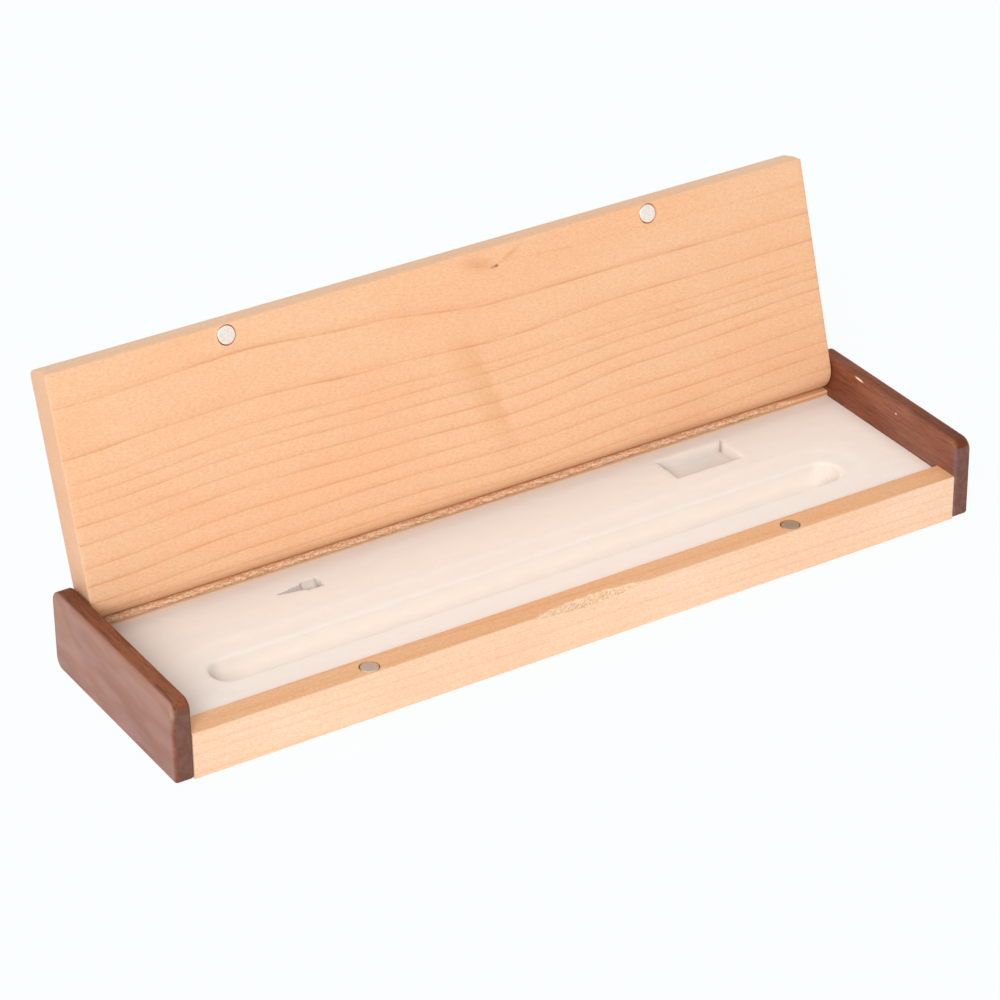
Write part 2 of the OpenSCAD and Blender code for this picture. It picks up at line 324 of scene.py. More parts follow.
def stand(name, data, place=(0, 0, 0), turn=(0, 0, 0)):
    """An object in the scene, at a place and with a turn."""
    made = bpy.data.objects.new(name, data)
    made.location = place
    made.rotation_euler = turn
    bpy.context.scene.collection.objects.link(made)
    return made


def new_piece(name, points, *faces, smooth=35.0, **fields):
    """Mesh object from whole arrays of faces, smooth below the given edge angle, with each field
    stored on the points."""
    mesh = bpy.data.meshes.new(name)
    mesh.from_pydata(points.reshape(-1, 3), [], [face for block in faces for face in block.tolist()])
    mesh.polygons.foreach_set("use_smooth", np.ones(len(mesh.polygons), bool))
    mesh.set_sharp_from_angle(angle=math.radians(smooth))
    for key, values in fields.items():
        mesh.attributes.new(key, "FLOAT", "POINT")
        mesh.attributes[key].data.foreach_set("value", np.ascontiguousarray(values, np.float32).ravel())
    mesh.validate()
    mesh.update()
    return stand(name, mesh)


def new_board(name, points, **fields):
    """Closed board from an anticlockwise outline's rings along X."""
    faces = [block[:, ::-1] for block in tube_faces(*points.shape[:2])]
    return new_piece(name, points, *faces, **fields)


def dress(piece, finish, body, node):
    """Gives a new piece its finish, its body and the solid it stands for."""
    piece.data.materials.append(finish)
    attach(piece, body)
    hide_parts(node)


def refinish(node, finish):
    """Puts a finish on one of the case's own solids."""
    solid = NODES[node]
    if not solid.material_slots:
        solid.data.materials.append(None)
    for slot in solid.material_slots:
        slot.material = finish


# ---- finishes


class Wire:
    """A value or a colour inside a material. Arithmetic on it adds the node that works it out."""

    def __init__(self, socket):
        self.socket = socket
        self.tree = socket.id_data

    def __add__(self, other):
        return maths("ADD", self, other)

    def __sub__(self, other):
        return maths("SUBTRACT", self, other)

    def __rsub__(self, other):
        return maths("SUBTRACT", other, self)

    def __mul__(self, other):
        return maths("MULTIPLY", self, other)

    def ranged(self, low, high, to_low=0.0, to_high=1.0, curve="SMOOTHSTEP"):
        """The value carried from one range to another and held at the ends."""
        given = {"Value": self, "From Min": low, "From Max": high, "To Min": to_low, "To Max": to_high}
        return add(self.tree, "ShaderNodeMapRange", "Result", given, interpolation_type=curve)


def put(socket, value):
    """Joins a wire to a socket, or sets the socket's value."""
    if isinstance(value, Wire):
        value.tree.links.new(value.socket, socket)
    elif socket.type == "RGBA" and len(value) == 3:
        socket.default_value = (*value, 1.0)
    else:
        socket.default_value = value


def add(tree, kind, out=0, values=None, **settings):
    """Adds a node, sets it up and gives one of its outputs."""
    made = tree.nodes.new(kind)
    for key, value in settings.items():
        setattr(made, key, value)
    for key, value in (values or {}).items():
        put(made.inputs[key], value)
    return Wire(made.outputs[out])


def new_finish(name):
    """An empty material: the material, its node tree and its surface shader."""
    finish = bpy.data.materials.new(name)
    finish.use_nodes = True
    tree = finish.node_tree
    tree.nodes.clear()
    shader = tree.nodes.new("ShaderNodeBsdfPrincipled")
    output = tree.nodes.new("ShaderNodeOutputMaterial")
    tree.links.new(shader.outputs["BSDF"], output.inputs["Surface"])
    return finish, tree, shader


def surface(shader, **inputs):
    """Joins wires to the surface shader and puts constants on its own sockets."""
    for key, value in inputs.items():
        put(shader.inputs[key.replace("_", " ")], value)


def field(tree, name):
    """A value stored on the points of a mesh."""
    return add(tree, "ShaderNodeAttribute", "Fac", attribute_name=name)


def maths(operation, *values):
    """Arithmetic on wires and numbers."""
    tree = next(value.tree for value in values if isinstance(value, Wire))
    return add(tree, "ShaderNodeMath", values=dict(enumerate(values)), operation=operation)


def mixed(share, first, second, blend="MIX"):
    """Two colours mixed by a share."""
    given = {0: share, 6: first, 7: second}
    return add(share.tree, "ShaderNodeMix", 2, given, data_type="RGBA", blend_type=blend)


def dimmed(share, tone, shade):
    """A colour multiplied by a shade, by a share."""
    return mixed(share, tone, shade, "MULTIPLY")


def shaded(tone, *shade):
    """A plain colour multiplied by a shade."""
    return (np.array(tone) * shade).tolist()


def grained(tree, stretch, size, detail, rough=0.5, seed=0.0, warp=0.0, lean=0.0):
    """Noise on Object coordinates, its cells of a size in metres stretched along the axes and leant
    about Y."""
    place = add(tree, "ShaderNodeTexCoord", "Object")
    if lean:
        place = add(tree, "ShaderNodeMapping", values={"Vector": place, "Rotation": (0.0, lean, 0.0)})
    scale = [1 / (size * s) for s in stretch]
    moved = {"Vector": place, "Scale": scale, "Location": (seed, seed, seed)}
    place = add(tree, "ShaderNodeMapping", values=moved)
    noise = {"Vector": place, "Scale": 1.0, "Detail": detail, "Roughness": rough, "Distortion": warp}
    return add(tree, "ShaderNodeTexNoise", values=noise, noise_dimensions="3D")


def blot(along, up, place, half, turn, core):
    """1 in the core of an ellipse that lies at a place on a board, in millimetres, 0 outside it."""
    cosine, sine = math.cos(math.radians(turn)), math.sin(math.radians(turn))
    a, b = along - place[0], up - place[1]
    u = a * (cosine / half[0]) + b * (sine / half[0])
    v = b * (cosine / half[1]) - a * (sine / half[1])
    return maths("SQRT", u * u + v * v).ranged(core, 1.0, 1.0, 0.0)


def bumped(height, depth, strength, below=None):
    """Normal tipped by a height field whose full rise is depth, in metres."""
    values = {"Strength": strength, "Distance": depth, "Height": height}
    if below:
        values["Normal"] = below
    return add(height.tree, "ShaderNodeBump", values=values)


def maple_lines(tree, seed):
    """Growth lines from three fields on the board: rings counts the lines passed, gap is the space
    between two lines in millimetres and late is how dark each is. A line is sharp below and fades
    above over a reach that grows with its darkness."""
    gap, late = field(tree, "gap"), field(tree, "late")
    wander = grained(tree, (6, 1, 1), 9 * MM, detail=3, seed=seed)
    part = maths("FRACT", field(tree, "rings") + wander.ranged(0.3, 0.7, -0.035, 0.035, "LINEAR"))
    above, below = part * gap, (1.0 - part) * gap
    core = maths("MAXIMUM", above.ranged(0.0, 0.6, 1.0, 0.0), below.ranged(0.0, 0.25, 1.0, 0.0))
    reach = late.ranged(0.85, 1.0, 2.4, 5.0, "LINEAR")
    fade = maths("POWER", above.ranged(0.0, reach, 1.0, 0.0, "LINEAR"), 2.0)
    small = grained(tree, (10, 1, 1), 1.6 * MM, detail=2, seed=seed + 3)
    broken = small.ranged(0.32, 0.68, 0.45, 1.25, "LINEAR")
    return (core * 0.34 + fade * 0.25) * late * broken


def maple_finish(name, tones, wood, seed, figure, edge, ragged=(1.0, 1.0, 1.0), half=1.0, knot=False):
    """Oiled maple: growth lines over a slow drift of pink and straw tones, short flecks and fine pores.
    Torn grain is ragged, with bright chips and dark pits. The edge field paints light on the lid's free
    edge and shade on the rails, in the colour given as edge, the foot field paints shade low on the lid,
    and past its half length the end grain loses the lines."""
    finish, tree, shader = new_finish(name)
    cloud = grained(tree, (3.2, 1, 1), 15 * MM, detail=3, seed=seed + 7, warp=0.4)
    flecks = grained(tree, (2.6, 1, 1), 0.34 * MM, detail=3, rough=0.65, seed=seed + 11)
    mottle = grained(tree, (2, 1, 1), 2.6 * MM, detail=2, seed=seed + 17)
    pink, straw = shaded(wood, 1.0, 0.965, 0.93), shaded(wood, 1.0, 1.02, 1.03)
    tone = mixed(cloud.ranged(0.36, 0.64), pink, straw)
    tone = mixed(flecks.ranged(0.46, 0.66) * 0.2, tone, tones.late_wood)
    tone = dimmed(flecks.ranged(0.5, 0.34), tone, (1.03, 1.06, 1.09))
    tone = dimmed(mottle.ranged(0.42, 0.7) * 0.3, tone, (1.0, 0.95, 0.88))
    place = add(tree, "ShaderNodeTexCoord", "Object")
    along = maths("ABSOLUTE", add(tree, "ShaderNodeSeparateXYZ", "X", {"Vector": place}))
    ends = along.ranged(half - 0.35 * MM, half - 0.1 * MM)
    tone = mixed(maple_lines(tree, seed) * figure * (1.0 - ends * 0.75), tone, tones.late_wood)
    tone = dimmed(ends, tone, (0.96, 0.97, 1.02))
    tone = dimmed(field(tree, "figure"), tone, (0.94, 0.89, 0.8))
    # painted shade low on the lid, where its turned edge hangs over the back rail
    tone = dimmed(field(tree, "foot"), tone, (0.74, 0.74, 0.68))
    if knot:
        tone = pin_knot(tree, tone, tones)
    chips = grained(tree, (1.6, 1, 1), 0.5 * MM, detail=3, rough=0.6, seed=seed + 29)
    fibre = mixed(chips.ranged(0.4, 0.6), shaded(wood, 0.94, 0.88, 0.8), ragged)
    pitted = grained(tree, (2.0, 1, 1), 0.3 * MM, detail=2, seed=seed + 31, lean=0.7)
    pits = pitted.ranged(0.53, 0.62) * field(tree, "pitted")
    tone = mixed(field(tree, "torn"), tone, mixed(pits, fibre, tones.pit))
    # painted light on the lid's free edge, painted shade on the front rail's top and along the back
    # rail's crease
    tone = dimmed(field(tree, "edge"), tone, edge)
    rough = flecks.ranged(0.3, 0.7, 0.46, 0.6, "LINEAR")
    pores = grained(tree, (10, 1, 1), 0.22 * MM, detail=3, rough=0.55, seed=seed + 23)
    normal = bumped(pores, 0.02 * MM, 0.6, bumped(mottle, 0.03 * MM, 0.5))
    surface(shader, Base_Color=tone, Roughness=rough, Normal=normal, IOR=1.46, Specular_IOR_Level=0.35)
    return finish


def pin_knot(tree, tone, tones):
    """A pin knot painted from its own two fields, millimetres along and up from its middle: darker
    flames rising to its left and right, a smudge and the brown core."""
    along, up = field(tree, "knot_along"), field(tree, "knot_up")
    for place, half, turn, core, share, paint in (
        ((-5.0, 1.6), (7.0, 2.6), -16.0, 0.0, 0.4, tones.late_wood),
        ((4.2, 1.9), (5.2, 1.0), 24.0, 0.0, 0.4, tones.late_wood),
        ((-1.0, -0.1), (1.3, 0.7), 0.0, 0.0, 0.45, tones.knot),
        ((0.0, 0.0), (0.85, 0.55), 10.0, 0.15, 0.95, tones.knot),
    ):
        tone = mixed(blot(along, up, place, half, turn, core) * share, tone, paint)
    return tone


def walnut_finish(name, tones, seed, chipped):
    """Oiled walnut, grain along Y: soft bands, thin dark streaks and open pores drawn out along it.
    Fields say where a cheek takes a painted sheen on its outer faces, a pale band along its upper edge,
    end grain, or darkening, partly painted shade. A chipped cheek has a bare chip and a spot of pale
    wood."""
    finish, tree, shader = new_finish(name)
    bands = grained(tree, (1, 9, 1), 3.0 * MM, detail=3, seed=seed, warp=0.6)
    clouds = grained(tree, (1, 3.5, 1), 4.5 * MM, detail=2, seed=seed + 2)
    streaks = grained(tree, (1, 16, 1), 0.42 * MM, detail=3, rough=0.6, seed=seed + 5)
    pores = grained(tree, (1, 9, 1), 0.16 * MM, detail=2, rough=0.6, seed=seed + 9)
    painted_sheen, end = field(tree, "painted_sheen"), field(tree, "end")
    clear = (1.0 - painted_sheen * 0.85) * (1.0 - end * 0.7)
    tone = dimmed(bands.ranged(0.38, 0.62), tones.walnut, (0.82, 0.77, 0.72))
    # darker places; on the right cheek's inner face this is painted shade
    tone = dimmed(field(tree, "dark"), tone, (0.62, 0.48, 0.44))
    tone = mixed(streaks.ranged(0.47, 0.64) * clear * 0.62, tone, tones.walnut_dark)
    tone = mixed(pores.ranged(0.55, 0.68) * clear * 0.7, tone, tones.walnut_dark)
    # painted sheen, patchy, on the outer faces where they catch the light at a grazing angle
    sheen_tone = mixed(clouds.ranged(0.36, 0.64), tones.walnut_painted_sheen, tones.walnut_sheen_patches)
    tone = mixed(painted_sheen * 0.58, tone, sheen_tone)
    # a paler band along the rounded outer top edge of each cheek
    tone = mixed(field(tree, "pale_band") * 0.5, tone, tones.walnut_pale_band)
    tone = dimmed(end, tone, (0.74, 1.06, 1.75))
    if chipped:
        across, up = field(tree, "chip_across"), field(tree, "chip_up")
        chip = blot(across, up, (0.0, -0.1), (2.2, 0.3), 3.0, 0.5)
        spot = blot(across, up, (-16.0, -2.7), (0.45, 0.35), 0.0, 0.3)
        tone = mixed(maths("MAXIMUM", chip, spot), tone, tones.torn_wood)
    rough = streaks.ranged(0.3, 0.7, 0.45, 0.58, "LINEAR")
    normal = bumped(pores.ranged(0.68, 0.58), 0.04 * MM, 0.6, bumped(streaks, 0.03 * MM, 0.4))
    surface(shader, Base_Color=tone, Roughness=rough, Normal=normal, IOR=1.5, Specular_IOR_Level=0.15)
    return finish


def birch_finish(name, wood, seed):
    """Bare birch ply, grain along X: pale with faint long streaks and short brown flecks."""
    finish, tree, shader = new_finish(name)
    bands = grained(tree, (12, 1, 1), 5 * MM, detail=4, seed=seed, warp=0.8)
    flecks = grained(tree, (8, 1, 1), 0.45 * MM, detail=2, seed=seed + 4)
    tone = mixed(bands.ranged(0.35, 0.65), wood, shaded(wood, 1.08, 1.1, 1.12))
    tone = dimmed(flecks.ranged(0.58, 0.7) * 0.5, tone, (0.72, 0.6, 0.48))
    surface(shader, Base_Color=tone, Roughness=0.62, Normal=bumped(flecks, 0.03 * MM, 0.6))
    return finish


def flock_finish(name, pile, deep, seed):
    """Velvet flock: nap mottled where it lies one way or the other, a fine pile of single fibres and the
    sheen of fibre ends. A field on the points greys it with painted shade in creases, pockets and towards
    the back under the lid."""
    finish, tree, shader = new_finish(name)
    nap = grained(tree, (2.2, 1, 1), 3.4 * MM, detail=3, rough=0.55, seed=seed)
    fibre = grained(tree, (1, 1, 1), 0.18 * MM, detail=2, rough=0.7, seed=seed + 3)
    tone = dimmed(nap.ranged(0.34, 0.66), pile, (0.985, 0.98, 0.975))
    tone = dimmed(fibre.ranged(0.52, 0.75) * 0.25, tone, (0.86, 0.82, 0.78))
    # painted shade: greyer in hollows, creases and towards the back under the lid, by the field on the
    # points
    tone = mixed(field(tree, "hollow"), tone, deep)
    normal = bumped(fibre, 0.05 * MM, 0.5, bumped(nap, 0.04 * MM, 0.25))
    surface(shader, Base_Color=tone, Normal=normal, Roughness=0.95, Specular_IOR_Level=0.1)
    surface(shader, Sheen_Weight=0.75, Sheen_Roughness=0.5)
    return finish


def plated_finish(name, metal):
    """Nickel plating with the faint rings left by turning, read from the disc's radius field."""
    finish, tree, shader = new_finish(name)
    turned = {"W": field(tree, "radius") * 5.0, "Scale": 1.0, "Detail": 3.0, "Roughness": 0.7}
    rings = add(tree, "ShaderNodeTexNoise", values=turned, noise_dimensions="1D")
    scuff = grained(tree, (1, 1, 1), 0.5 * MM, detail=4, rough=0.7, seed=2.0)
    tone = dimmed(scuff.ranged(0.4, 0.65), metal, (0.88, 0.86, 0.86))
    rough = rings.ranged(0.3, 0.7, 0.26, 0.46, "LINEAR")
    normal = bumped(rings, 0.014 * MM, 0.8)
    surface(shader, Base_Color=tone, Roughness=rough, Normal=normal, Metallic=1.0)
    return finish


def steel_finish(name, metal):
    """Drawn steel rod: fine marks along the rod."""
    finish, tree, shader = new_finish(name)
    drawn = grained(tree, (6, 1, 1), 0.3 * MM, detail=3, seed=1.0)
    tone = dimmed(drawn.ranged(0.5, 0.7), metal, (0.82, 0.82, 0.84))
    rough = drawn.ranged(0.3, 0.7, 0.22, 0.4, "LINEAR")
    normal = bumped(drawn, 0.01 * MM, 0.5)
    surface(shader, Base_Color=tone, Roughness=rough, Normal=normal, Metallic=1.0)
    return finish


# ---- boards


# Places along the lid where the heights of its growth lines are given, mm from the middle.
LID_PLACES = np.array([-105.0, -60, -20, 13, 50, 104])
# Growth lines of the lid from the bottom up: how dark each is, then its height up the inner face
# at each of those places, mm from the pin.
LID_LINES = np.array([
    (0.5, -12.0, -11.0, -11.0, -11.0, -10.0, -9.0),
    (0.5, -7.0, -6.0, -6.0, -6.5, -6.0, -4.6),
    (0.6, -3.4, -2.2, -1.8, -2.6, -1.4, 0.6),
    (0.8, -0.1, 1.6, 2.0, 0.9, 3.0, 4.9),
    (0.8, 4.1, 6.2, 6.7, 5.9, 7.2, 7.9),
    (0.8, 8.4, 10.8, 10.4, 9.9, 11.3, 12.7),
    (0.8, 14.4, 16.1, 15.2, 14.1, 17.0, 18.5),
    (0.8, 18.7, 20.1, 19.1, 18.1, 20.4, 21.7),
    (0.7, 22.4, 24.4, 23.2, 22.3, 24.0, 24.8),
    (0.55, 25.6, 27.4, 26.6, 25.9, 26.7, 27.0),
    (0.5, 28.7, 30.6, 29.4, 28.0, 28.9, 29.2),
    (0.9, 34.9, 36.3, 34.7, 33.0, 34.4, 34.6),
    (1.0, 47.0, 48.0, 45.7, 42.1, 42.0, 41.6),
    (0.28, 62.0, 64.0, 61.0, 51.2, 50.2, 49.2),
    (0.4, 76.0, 76.0, 74.0, 70.0, 68.0, 66.0),
])
# Lean of the lid's growth lines through its thickness.
LID_LEAN = 0.55
# The pin knot's place on the lid's inner face, mm from the middle and up from the pin.
KNOT = (14.7, 51.0)
# A place on the right edge of the lid's patch of curled figure, mm from the middle and up from the
# pin, and how far that edge runs to the right for each step down the board.
FIGURE_PLACE = (4, 36)
FIGURE_LEAN = 0.28
# Growth lines of the rails: mm across the leaning grain, how dark each is, and the grain's lean
# across the case and along it.
RAIL_HEIGHTS = np.arange(-40.0, 45.0, 2.6)
RAIL_DARK = 0.35 + 0.15 * (np.arange(len(RAIL_HEIGHTS)) * 7 % 3)
RAIL_LEAN = (0.6, 0.02)
# Where the back rail's torn edge begins to fade and where it ends, along the case.
TORN_END = (90 * MM, 99 * MM)
# Radius of the rails' upper inner edges.
INNER_EDGE = 0.15 * MM
# Painted light on the lid's free edge, painted shade on the front rail's upper face and a painted shade
# line along the back rail's crease, and how far under the back rail's top the crease lies and reaches.
LID_EDGE_PAINTED_LIGHT = (1.036, 1.15, 1.25)
RAIL_TOP_PAINTED_SHADE = (0.875, 0.74, 0.58)
CREASE_PAINTED_SHADE = (0.52, 0.57, 0.57)
CREASE_DOWN, CREASE_REACH = 0.9 * MM, 0.24 * MM
# Middle of the bare chip on the right cheek's inner top edge, along Y.
CHIP_PLACE = 10.5 * MM
# How far under a cheek's top its pale band lies and reaches, and the same for the painted shade line
# above the foot of the right cheek's inner face.
PALE_BAND_DOWN, PALE_BAND_REACH = 2.6 * MM, 1.6 * MM
FOOT_UP, FOOT_REACH = 11.0 * MM, 0.9 * MM
# Rings of grid lines round a hole, in radii, and how deep the hole goes.
HOLE_RINGS = np.array([-1.15, -1.08, -1, -0.975, -0.86, -0.7, -0.5, -0.25, 0])
HOLE_RINGS = np.concatenate([HOLE_RINGS, -HOLE_RINGS[-2::-1]])
HOLE_DEPTH = 3.1 * MM


def lid_axes():
    """The lid's pin line and its own axes. Up runs from the pin to the free edge and out runs from
    the pin through the inner face: the axes of the shut lid turned back by the hinge's open angle."""
    place = np.array(HINGE["pos_m"], float)[1:]
    shut = math.radians(max(HINGE["range_deg"]))
    up = np.array([-math.cos(shut), math.sin(shut)])
    out = np.array([-math.sin(shut), -math.cos(shut)])
    return place, up, out


def lid_box():
    """Least and most of the lid along the case, up from the pin and out through the inner face."""
    place, up, out = lid_axes()
    solid = NODES["lid_panel"]
    spots = np.empty(len(solid.data.vertices) * 3, np.float32)
    solid.data.vertices.foreach_get("co", spots)
    spots = spots.reshape(-1, 3).astype(float)
    away = spots[:, 1:] - place
    return [(values.min(), values.max()) for values in (spots[:, 0], away @ up, away @ out)]


def set_in_lid(x, s, t):
    """Points given along the lid (x), up from the pin (s) and out through the inner face (t)."""
    place, up, out = lid_axes()
    flat = place + s[..., None] * up + t[..., None] * out
    return np.concatenate([x[..., None], flat], axis=-1)


def growth_lid(x, s, t):
    """Growth fields of the lid: the height up the board, leaning back through the thickness, set
    against the growth lines, whose heights run smoothly from one given place to the next."""
    x, height = x / MM, s / MM + LID_LEAN * (t / MM - t.max() / MM)
    step = np.clip(np.searchsorted(LID_PLACES, x) - 1, 0, len(LID_PLACES) - 2)
    part = blended(LID_PLACES[step], LID_PLACES[step + 1], x)
    heights = LID_LINES[:, 1 + step] * (1 - part) + LID_LINES[:, 2 + step] * part
    passed = np.clip((height >= heights).sum(0) - 1, 0, len(LID_LINES) - 2)
    low = np.take_along_axis(heights, passed[None], 0)[0]
    high = np.take_along_axis(heights, passed[None] + 1, 0)[0]
    share = np.clip((height - low) / (high - low), 0, 1)
    dark = LID_LINES[passed, 0] * (1 - share) + LID_LINES[passed + 1, 0] * share
    return {"rings": passed + share, "gap": high - low, "late": dark}


def growth_rail(x, y, z):
    """Growth fields of a rail from the height across its leaning grain."""
    height = (z + RAIL_LEAN[0] * y + RAIL_LEAN[1] * x) / MM
    rings = np.interp(height, RAIL_HEIGHTS, np.arange(len(RAIL_HEIGHTS)))
    gap = np.full_like(height, RAIL_HEIGHTS[1] - RAIL_HEIGHTS[0])
    return {"rings": rings, "gap": gap, "late": np.interp(height, RAIL_HEIGHTS, RAIL_DARK)}


def rectangle(low, high):
    """Corners of a rectangle, anticlockwise from its low corner."""
    return [(low[0], low[1]), (high[0], low[1]), (high[0], high[1]), (low[0], high[1])]


def side_marks(corners, gap):
    """Even marks along each side of an outline, about gap apart, the side's length the last."""
    sides = np.roll(corners, -1, axis=0) - corners
    return [spaced(0, reach, gap) for reach in np.linalg.norm(sides, axis=1)]


def marks_round(marks, centres, radius):
    """Marks with those near a hole's centre changed for the lines of its rings."""
    for centre in centres:
        marks = marks[np.abs(marks - centre) > radius * 1.2]
        marks = np.concatenate([marks, centre + HOLE_RINGS * radius])
    return np.sort(marks)


def pressed_holes(u, v, depth, face, spread, across, radius):
    """Two round holes in the points of a face, a spread either side of the middle. The square rings
    of grid lines round each centre are pressed to circles out to the hole's rim and ease back to
    squares at the outermost ring. Gives the moved places, and the depth lessened down the holes."""
    outer = HOLE_RINGS[-1]
    for along in (-spread, spread):
        a, b = u - along, v - across
        ring = np.maximum(np.abs(a), np.abs(b))
        reach = np.maximum(np.hypot(a, b), 1e-9)
        near = (ring < radius * outer) & face
        pull = 1 + blended(radius * outer, radius * 1.001, ring) * (ring / reach - 1)
        u = np.where(near, along + a * pull, u)
        v = np.where(near, across + b * pull, v)
        depth = np.where((ring < radius * 0.99) & face, depth - HOLE_DEPTH, depth)
    return u, v, depth


def planed(y, z, corner, across, down, span, rough):
    """Points near a corner edge moved square on to a sloping flat that runs across its top and down
    its side, each by how far it lies outside the flat. Gives the places and how deep each lay."""
    inside = (span - (y - corner[0]) / across - (corner[1] - z) / down).clip(0, None)
    slope = math.hypot(across, down)
    move = inside * across * down / slope * rough
    return y + move * down / slope, z - move * across / slope, inside


class PENCASE_OT_lid(Operator):
    """Make the maple lid with its turned back edge and magnet holes"""

    bl_idname = "pen_case.lid"
    bl_label = "Lid"

    def execute(self, context):
        size, tones = context.scene.pen_case_boards, context.scene.pen_case_colours
        across, rise, thick = lid_box()
        hole, spread = size.magnet_hole, size.magnet_spread
        wide, deep = rise[1] - rise[0], thick[1] - thick[0]
        inner = marks_round(spaced(0, wide, 1.0 * MM), [size.magnet_inset], hole)
        side = spaced(0, deep, 0.4 * MM)
        corners = rectangle((rise[0], thick[0]), (rise[1], thick[1]))
        radii = [size.ease, size.lid_top, size.ease, size.lid_turn]
        loop = outline(corners, radii, [spaced(0, wide, 1.2 * MM), side, inner, side])
        stations = marks_round(spaced(across[0], across[1], 1.6 * MM), [-spread, spread], hole)
        x, s, t = np.moveaxis(carried(loop, stations, size.lid_end), -1, 0)
        face = t > thick[1] - 0.01 * MM
        x, s, t = pressed_holes(x, s, t, face, spread, rise[1] - size.magnet_inset, hole)
        # the free edge leans a little toward the inner face
        rim = blended(0.05, 0.6, (s - rise[1]) / size.ease + 1)
        leaning = size.lid_lean * blended(2.5 * MM, thick[1], t)
        s = s - leaning * blended(rise[1] - 0.5 * MM, rise[1] - 0.1 * MM, s)
        fields = growth_lid(x, s, t)
        # the patch of figure is sharp to its right and soft to its left, on the inner face only
        off = x / MM - FIGURE_PLACE[0] - FIGURE_LEAN * (FIGURE_PLACE[1] - s / MM)
        patch = np.where(off < 0, blended(-10.0, -1.0, off), blended(1.2, 0.0, off))
        inward = blended(0.3, 0.8, (t - thick[0]) / deep)
        fields["figure"] = patch * blended(40, 30, s / MM) * blended(0, 16, s / MM) * inward
        # painted light on the lid's free edge
        fields["edge"] = rim * (0.45 + 0.55 * blended(3.4, 2.0, t / MM))
        # painted shade low on the lid, where its turned edge hangs over the back rail
        fields["foot"] = 0.1 * blended(9.0, 2.0, s / MM) + 0.6 * blended(-1.0, -5.0, s / MM)
        fields["knot_along"], fields["knot_up"] = x / MM - KNOT[0], s / MM - KNOT[1]
        piece = new_board("lid_board", set_in_lid(x, s, t), **fields)
        finish = maple_finish(
            "oiled maple lid", tones, tones.lid_wood, 1.0, 1.0, LID_EDGE_PAINTED_LIGHT, half=across[1], knot=True
        )
        dress(piece, finish, "lid", "lid_panel")
        return {"FINISHED"}


